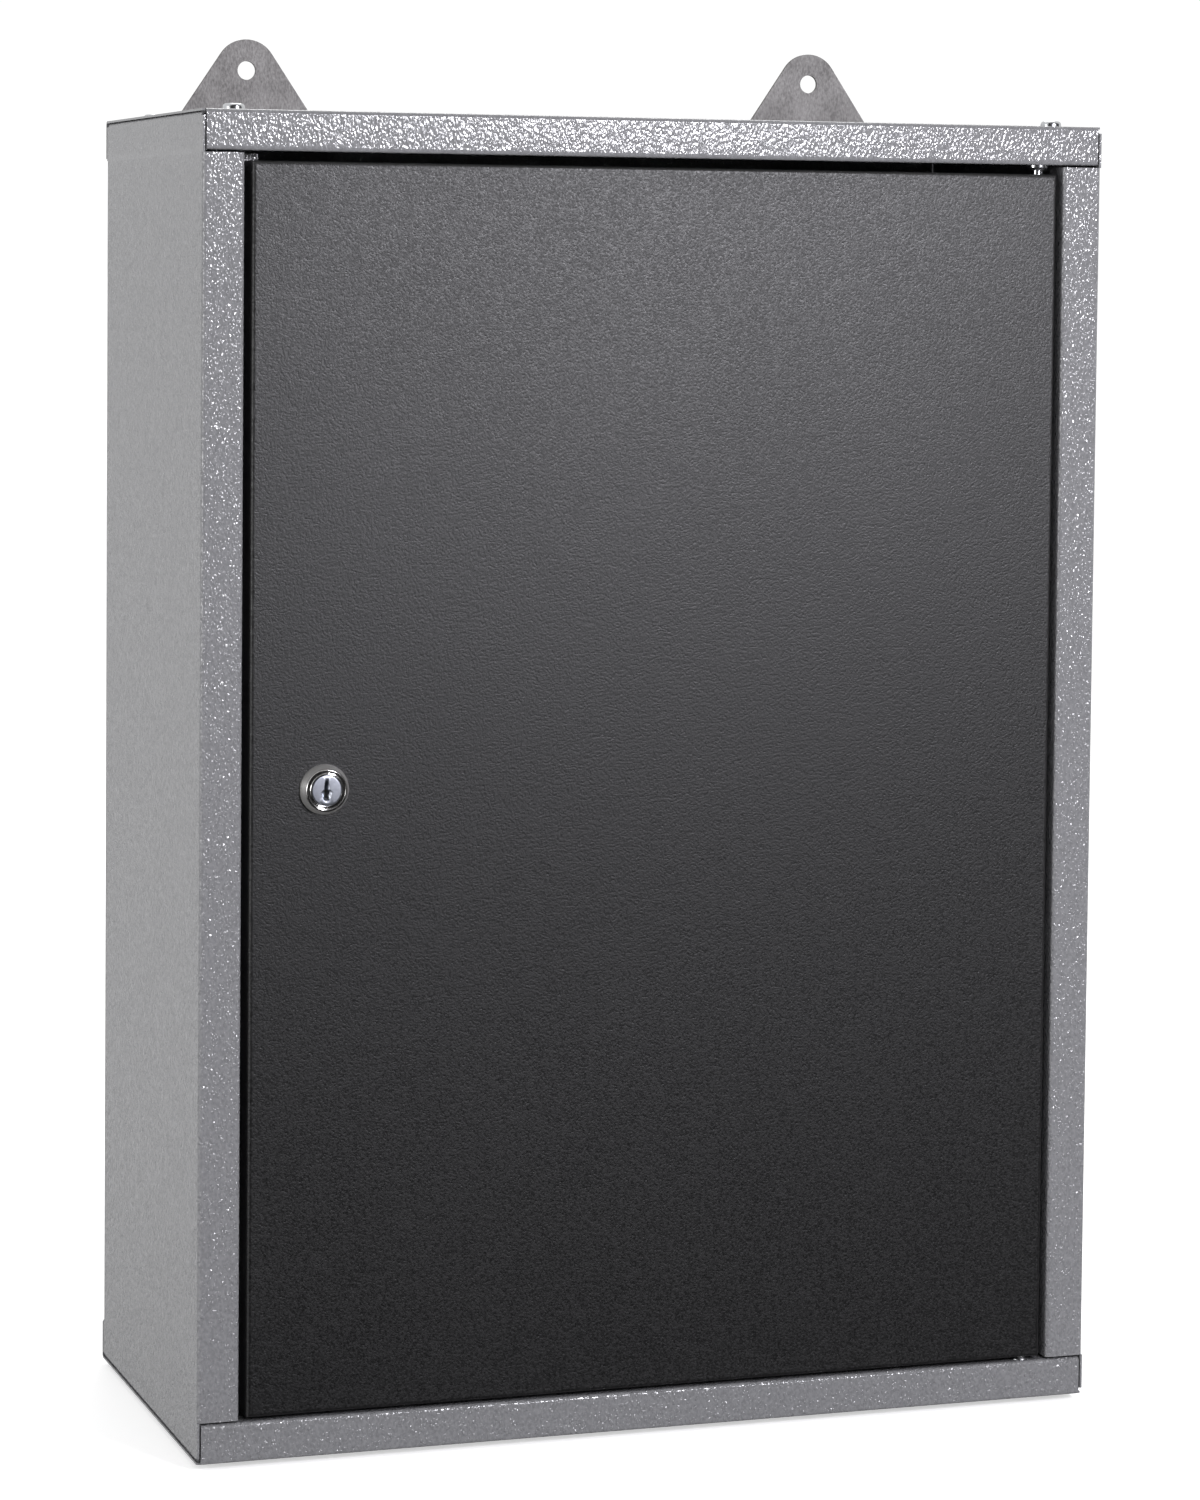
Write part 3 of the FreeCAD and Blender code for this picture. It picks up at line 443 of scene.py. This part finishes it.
def piece(name, form, *nodes):
    """Shows a form in the place of CAD nodes, on their body and with their slot."""
    data = form.finished()
    data.shade_smooth()
    data.set_sharp_from_angle(angle=math.radians(32.0))
    made = bpy.data.objects.new(name, data)
    bpy.context.collection.objects.link(made)
    data.materials.clear()
    data.materials.append(FINISHES[SLOT_OF[nodes[0]]])
    steady = made.modifiers.new("even_shading", "WEIGHTED_NORMAL")
    steady.keep_sharp = True
    steady.weight = 100
    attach(made, NODES[nodes[0]]["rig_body"])
    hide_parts(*nodes)


# ---------------------------------------------------------------- sheet parts

def eased(node, width):
    """A CAD node's own shape with its sheared edges eased."""
    form = Form()
    mesh = form.mesh
    mesh.from_mesh(NODES[node].data)
    bmesh.ops.remove_doubles(mesh, verts=mesh.verts, dist=0.001 * MM)
    bmesh.ops.dissolve_limit(mesh, angle_limit=math.radians(0.4), verts=mesh.verts,
                             edges=mesh.edges)
    sharp = [edge for edge in mesh.edges
             if edge.is_manifold and edge.calc_face_angle() > math.radians(40.0)]
    bmesh.ops.bevel(mesh, geom=sharp, offset=width * MM, segments=2, profile=0.5,
                    affect="EDGES", clamp_overlap=True)
    return form


def make_sheet_parts():
    widths = {"hanging_bracket": 0.25, "panel": 0.12, "stiffener": 0.12, "upright": 0.1,
              "shelf": 0.12, "cam": 0.2, "clips": 0.15}
    for node in NODES:
        for ending, width in widths.items():
            if node.endswith(ending):
                piece(f"{node}_sheet", eased(node, width), node)


# ---------------------------------------------------------------- fasteners

def thread(radius, start, end, pitch=0.8, deep=0.35):
    """Profile corners of a thread from one height up to another."""
    turns = int((end - start) / pitch)
    corners = []
    for number in range(turns):
        corners.append((radius - deep, start + pitch * number))
        corners.append((radius, start + pitch * (number + 0.5)))
    return corners + [(radius - deep, start + pitch * turns)]


def arc(centre, height, reach, rise, steps=6):
    """Profile corners of a quarter round, from its side up to its top."""
    turns = (math.pi / 2 * number / steps for number in range(steps + 1))
    return [(centre + reach * math.cos(turn), height + rise * math.sin(turn)) for turn in turns]


def cross_recess(top, reach, deep):
    """The cutter of a cross recess whose arms narrow towards its bottom."""
    half = 0.55                                        # of an arm's width
    narrowed = 0.45
    above = 0.5
    arms = Form().block(UPRIGHT, (-reach, -half, top - deep), (reach, half, top + above), narrowed)
    return arms.block(UPRIGHT, (-half, -reach, top - deep), (half, reach, top + above), narrowed)


def pan_screw(radius, head, high, length, reach=2.3, deep=1.7):
    """A pan-head screw on its own axis, seated at height 0."""
    profile = [(0, -length), (radius - 0.6, -length)] + thread(radius, 0.4 - length, -0.8)
    profile += [(radius, -0.5), (radius, 0), (head - 0.15, 0), (head, 0.15)]
    profile += arc(head - 1.5, high - 1.7, 1.5, 1.6) + [(0, high)]
    screw = Form().turned(UPRIGHT, profile, 40)
    return screw.without(cross_recess(high, reach, deep)).finished()


def flush_screw(radius, head, length):
    """A countersunk screw, its flat face at height 0."""
    cone = head - radius
    profile = [(0, -length), (radius - 0.5, -length)]
    profile += thread(radius, 0.4 - length, -cone - 0.6, pitch=0.7, deep=0.3)
    profile += [(radius, -cone - 0.3), (radius, -cone), (head - 0.05, -0.1), (head - 0.15, 0), (0, 0)]
    screw = Form().turned(UPRIGHT, profile, 40)
    return screw.without(cross_recess(0, reach=1.9, deep=1.5)).finished()


def hex_nut(across, bore, thick):
    """A hexagon nut with chamfered corners, its upper face at height 0."""
    circle = across / 2 * 0.96
    lead = 0.4                                         # of the bore, at both ends

    def profile(angle):
        reach = across / 2 / math.cos((angle % (math.pi / 3)) - math.pi / 6)
        drop = (reach - circle) * math.tan(math.radians(30))
        return [(bore, lead - thick), (bore + lead, -thick), (circle, -thick), (reach, drop - thick),
                (reach, -drop), (circle, 0), (bore + lead, 0), (bore, -lead)]
    return Form().turned(UPRIGHT, profile, 96).finished()


def blind_rivet():
    """A blind rivet with its head's seat at height 0 and the mandrel's end in the head."""
    tail = [(0, -4.5), (1.2, -4.5), (1.9, -4.2), (2.25, -3.6), (2.3, -2.9), (2.1, -2.2),
            (1.6, -2.0), (1.6, 0), (3.1, 0), (3.2, 0.12)]
    dome = [(3.1, 0.3), (2.7, 0.55), (2.1, 0.78), (1.5, 0.88), (1.15, 0.9), (1.0, 0.84),
            (0.95, 0.45), (0.85, 0.35), (0.4, 0.42), (0, 0.44)]
    return Form().turned(UPRIGHT, tail + dome, 32).finished()


def fit_fasteners(name, node, shape, up, height=0.0):
    """One piece with a copy of the shape on every solid of a node."""
    form = Form()
    for low, high in solids_of(node):
        form.copied(shape, seat(low, high, up, height))
    piece(name, form, node)


def make_fasteners():
    panel_head, cam_head, rivet_head = 3.0, 2.4, 0.9   # their heights
    panel_screw = pan_screw(radius=2.5, head=4.85, high=panel_head, length=9.0)
    fit_fasteners("top_pan_screws", "top_panel_screws", panel_screw, (0, 0, 1), -panel_head)
    fit_fasteners("bottom_pan_screws", "bottom_panel_screws", panel_screw, (0, 0, -1), -panel_head)
    bracket_screw = flush_screw(radius=2.0, head=3.8, length=10.0)
    fit_fasteners("flush_screws", "bracket_screws", bracket_screw, (0, 1, 0))
    cam_screw = pan_screw(radius=2.0, head=4.0, high=cam_head, length=9.0, reach=1.9, deep=1.3)
    fit_fasteners("cam_pan_screw", "cam_screw", cam_screw, (0, 1, 0), -cam_head)
    for node, across, bore, thick, up in (
            ("top_panel_nuts", 8, 2.5, 4, (0, 0, 1)), ("bottom_panel_nuts", 8, 2.5, 4, (0, 0, 1)),
            ("upper_hinge_nut", 8, 2.5, 4, (0, 0, 1)), ("lower_hinge_nut", 8, 2.5, 4, (0, 0, 1)),
            ("bracket_nuts", 7, 2.0, 3.2, (0, 1, 0)), ("lock_nut", 24, 9.0, 4, (0, 1, 0))):
        fit_fasteners(f"{node}_hex", node, hex_nut(across, bore, thick), up)
    for node in ("side_rivets", "flange_rivets"):
        fit_fasteners(f"{node}_domed", node, blind_rivet(), (0, 1, 0), -rivet_head)


# ---------------------------------------------------------------- hinges and stops

def make_hinge_pin(name, up, collar):
    """A pin with its tip in the bush, a collar against the rail and a threaded stud."""
    node = f"{name}_hinge_pin"
    low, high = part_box(node)
    stud = 6.0
    tip = stud - (high.z - low.z) / MM
    profile = [(0, tip), (1.6, tip), (2.3, tip + 0.5), (2.5, tip + 1.2),
               (2.5, -collar), (3.7, -collar), (4.1, 0.15 - collar), (4.7, 0.95 - collar),
               (4.8, 1.2 - collar), (4.8, -0.15), (4.65, 0), (2.5, 0), (2.5, 0.6)]
    profile += thread(2.5, 0.8, 5.6) + [(1.9, stud), (0, stud)]
    piece(f"{name}_pivot", Form().turned(seat(low, high, (0, 0, up), -stud), profile), node)


def make_hinge_bush(name, up):
    """A bush with a flange near its outer end and a lead into its bore at both ends."""
    node = f"{name}_hinge_bush"
    collar = 1.0                                       # its height above the flange
    profile = [(2.6, 0.8), (2.8, collar), (3.2, collar), (3.4, 0.8), (3.4, 0), (3.85, 0), (4.0, -0.15),
               (4.0, -1.35), (3.85, -1.5), (3.4, -1.5), (3.4, -11.6), (3.2, -12.0),
               (2.8, -12.0), (2.6, -11.8)]
    piece(f"{name}_bush", Form().turned(seat_on(node, (0, 0, up), -collar), profile), node)


def make_hinges():
    for name, up, collar in (("upper", 1, 2.4), ("lower", -1, 1.5)):
        make_hinge_pin(name, up, collar)
        make_hinge_bush(name, up)


def make_stop_pads():
    """Round pads with a rounded edge and a flat middle."""
    profile = [(0, -1.2), (3.3, -1.2), (3.5, -1.05)] + arc(2.9, -0.5, 0.6, 0.45) + [(1.5, 0), (0, 0)]
    pad = Form().turned(UPRIGHT, profile, 32).finished()
    fit_fasteners("stop_pads_domed", "door_stop_pads", pad, (0, -1, 0))


# ---------------------------------------------------------------- the lock

def make_cap(door_face):
    """The lock's cap, with a sloping flank, a groove in its front and a hollow back."""
    front = [(10.75, 0), (11.1, 0), (11.25, 0.15), (11.25, 0.5), (11.15, 0.95), (10.9, 1.55),
             (10.55, 2.3), (10.15, 3.1), (9.75, 3.9), (9.5, 4.4), (9.3, 4.75), (9.05, 4.94),
             (8.8, 5.0), (8.6, 4.95), (8.45, 4.8), (8.35, 4.62), (8.2, 4.56), (7.75, 4.56),
             (7.62, 4.64), (7.5, 4.82), (7.35, 4.95), (7.15, 5.0), (6.98, 4.94), (6.88, 4.8),
             (6.85, 4.55)]
    back = [(6.85, 4.2), (8.4, 4.2), (8.9, 4.15), (9.2, 3.9), (10.15, 2.1), (10.75, 0.7)]
    piece("bezel_cap", Form().turned(door_face, front + back, 96), "lock_bezel")


def make_barrel(door_face):
    """The lock's housing, its head inside the cap and its threaded barrel behind."""
    head = [(6.8, 4.15), (8.35, 4.15), (8.85, 4.1), (9.1, 3.85), (10.05, 2.1), (10.7, 0.65),
            (10.7, 0), (9, 0), (9, -1.4)]
    barrel = thread(9.0, -18.0, -1.8, pitch=1.0, deep=0.45)[::-1]
    barrel += [(8.5, -18.3), (7.0, -18.3), (6.8, -18.1)]
    piece("threaded_barrel", Form().turned(door_face, head + barrel, 72), "lock_housing")


def keyway(angle):
    """How far the key slot and its funnel-shaped mouth reach at an angle. Both are wider
    below the axis, where the slot's sides are wavy."""
    side, rise = abs(math.cos(angle)), math.sin(angle)
    lower = 0.5 - 0.5 * math.tanh(5 * rise)
    slot_half = 0.6 + 0.65 * lower + 0.18 * math.sin(9 * rise) * lower
    slot = min(slot_half / max(side, 0.001), 4.2 / max(abs(rise), 0.001),
               math.hypot(slot_half, 4.1))
    mouth_half = 1.35 + 1.15 * lower
    return slot, 1 / math.hypot(side / mouth_half, rise / 4.9)


def make_plug():
    """The plug that the key turns, with slots for its wafers."""
    low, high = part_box("lock_plug")
    end = (low.y - high.y) / MM
    floor = -14.9                                      # of the key slot

    def profile(angle):
        slot, mouth = keyway(angle)
        return [(0, floor), (slot, floor), (slot, -0.9), (mouth - 0.12, -0.14), (mouth, -0.04),
                (mouth + 0.12, 0), (6.3, 0), (6.6, -0.12), (6.75, -0.4), (6.75, end + 2.0),
                (3.9, end + 2.0), (3.9, end + 0.1), (0, end + 0.1)]
    slots = Form()
    play = Vector((0.1, 0.1, 1.5)) * MM
    for bottom, top in solids_of("lock_wafers"):
        slots.block(UPRIGHT, bottom - play, top + play)
    plug = Form().turned(seat(low, high, (0, -1, 0)), profile, 180)
    piece("keyed_plug", plug.without(slots), "lock_plug")


def make_washer(name, node, bore, radius, sides):
    """A washer 1 mm thick with its outer edges rounded off."""
    profile = [(bore, -1.0), (radius - 0.2, -1.0), (radius, -0.85), (radius, -0.15),
               (radius - 0.2, 0), (bore, 0)]
    piece(name, Form().turned(seat_on(node, (0, 1, 0)), profile, sides), node)


def make_lock():
    cap_high = 5.0
    door_face = seat_on("lock_bezel", (0, -1, 0), -cap_high)
    make_cap(door_face)
    make_barrel(door_face)
    make_plug()
    make_washer("barrel_washer", "lock_washer", bore=9.05, radius=12.6, sides=64)
    make_washer("cam_seat_washer", "cam_washer", bore=2.05, radius=6.4, sides=48)


# ---------------------------------------------------------------- stage, lights and camera

def make_floor():
    bpy.ops.mesh.primitive_plane_add(size=400.0, location=(0.0, 0.0, 0.0))
    floor = bpy.context.object
    floor.name = "floor"
    pale = Finish("floor_white", base=(0.85, 0.85, 0.85), roughness=0.9,
                  emission_color=(1.0, 1.0, 1.0, 1.0), emission_strength=0.5)
    floor.data.materials.append(pale.material)
    floor.visible_glossy = False


def make_world():
    """White to look at, and a softer, even light on everything that stands in it."""
    world = bpy.data.worlds.new("studio")
    sky = ShaderTree(world, "Background")
    direction = sky.node("ShaderNodeTexCoord", {}, {}, "Generated")
    rise = sky.node("ShaderNodeSeparateXYZ", {}, {"Vector": direction}, "Z")
    light = sky.node("ShaderNodeMapRange", {}, {"Value": rise, "From Min": -0.5, "From Max": -0.2,
                                                "To Min": 0.03, "To Max": 0.73})
    looked_at = sky.node("ShaderNodeLightPath", {}, {}, "Is Camera Ray")
    sky.feed("Strength", sky.node("ShaderNodeMapRange", {},
                                  {"Value": looked_at, "To Min": light, "To Max": 1.05}))
    sky.shader.inputs["Color"].default_value = (1.0, 1.0, 1.0, 1.0)
    bpy.context.scene.world = world


def make_dark_card():
    """A black card far in front, which only reflections see."""
    bpy.ops.mesh.primitive_plane_add(size=1.0, location=(5.25, -3.2, -2.0))
    card = bpy.context.object
    card.name = "dark_card"
    wide, high = 19.5, 15.8
    card.scale = (wide, high, 1.0)
    card.rotation_euler = (math.radians(90.0), 0.0, 0.0)
    black = Finish("card_black", base=(0.01, 0.01, 0.01), roughness=1.0)
    card.data.materials.append(black.material)
    card.visible_camera = False
    card.visible_diffuse = False
    card.visible_shadow = False


def softbox(name, place, target, wide, high, watts, colour=(1.0, 1.0, 1.0)):
    lamp = bpy.data.lights.new(name, "AREA")
    lamp.shape = "ELLIPSE"
    lamp.size = wide
    lamp.size_y = high
    lamp.energy = watts
    lamp.color = colour
    holder = bpy.data.objects.new(name, lamp)
    bpy.context.collection.objects.link(holder)
    holder.location = place
    aim = Vector(target) - Vector(place)
    holder.rotation_euler = aim.to_track_quat("-Z", "Y").to_euler()


def make_lights():
    softbox("front_softbox", (0.50, -1.55, 0.88), (0.0, -0.1, 0.45), wide=0.32, high=0.42,
            watts=19.0, colour=(0.99, 0.98, 1.04))
    softbox("left_softbox", (-1.85, -0.5, 0.5), (-0.2, -0.1, 0.3), wide=0.6, high=0.8, watts=7.0)
    softbox("rear_softbox", (0.6, 1.5, 2.5), (0.0, 0.1, 0.3), wide=1.4, high=1.0, watts=20.0)


def make_camera():
    lens = bpy.data.cameras.new("camera")
    lens.lens = 102.9                                  # mm
    lens.sensor_width = 36.0
    lens.shift_y = -0.16
    camera = bpy.data.objects.new("camera", lens)
    bpy.context.collection.objects.link(camera)
    camera.location = (-0.6495, -1.9294, 0.534)
    camera.rotation_euler = Euler([math.radians(angle) for angle in (86.80, -0.55, -18.64)])
    bpy.context.scene.camera = camera


# ---------------------------------------------------------------- building

dress_frame()
make_sheet_parts()
make_fasteners()
make_hinges()
make_stop_pads()
make_lock()
make_floor()
make_world()
make_dark_card()
make_lights()
make_camera()
bpy.context.scene.view_settings.view_transform = "Standard"
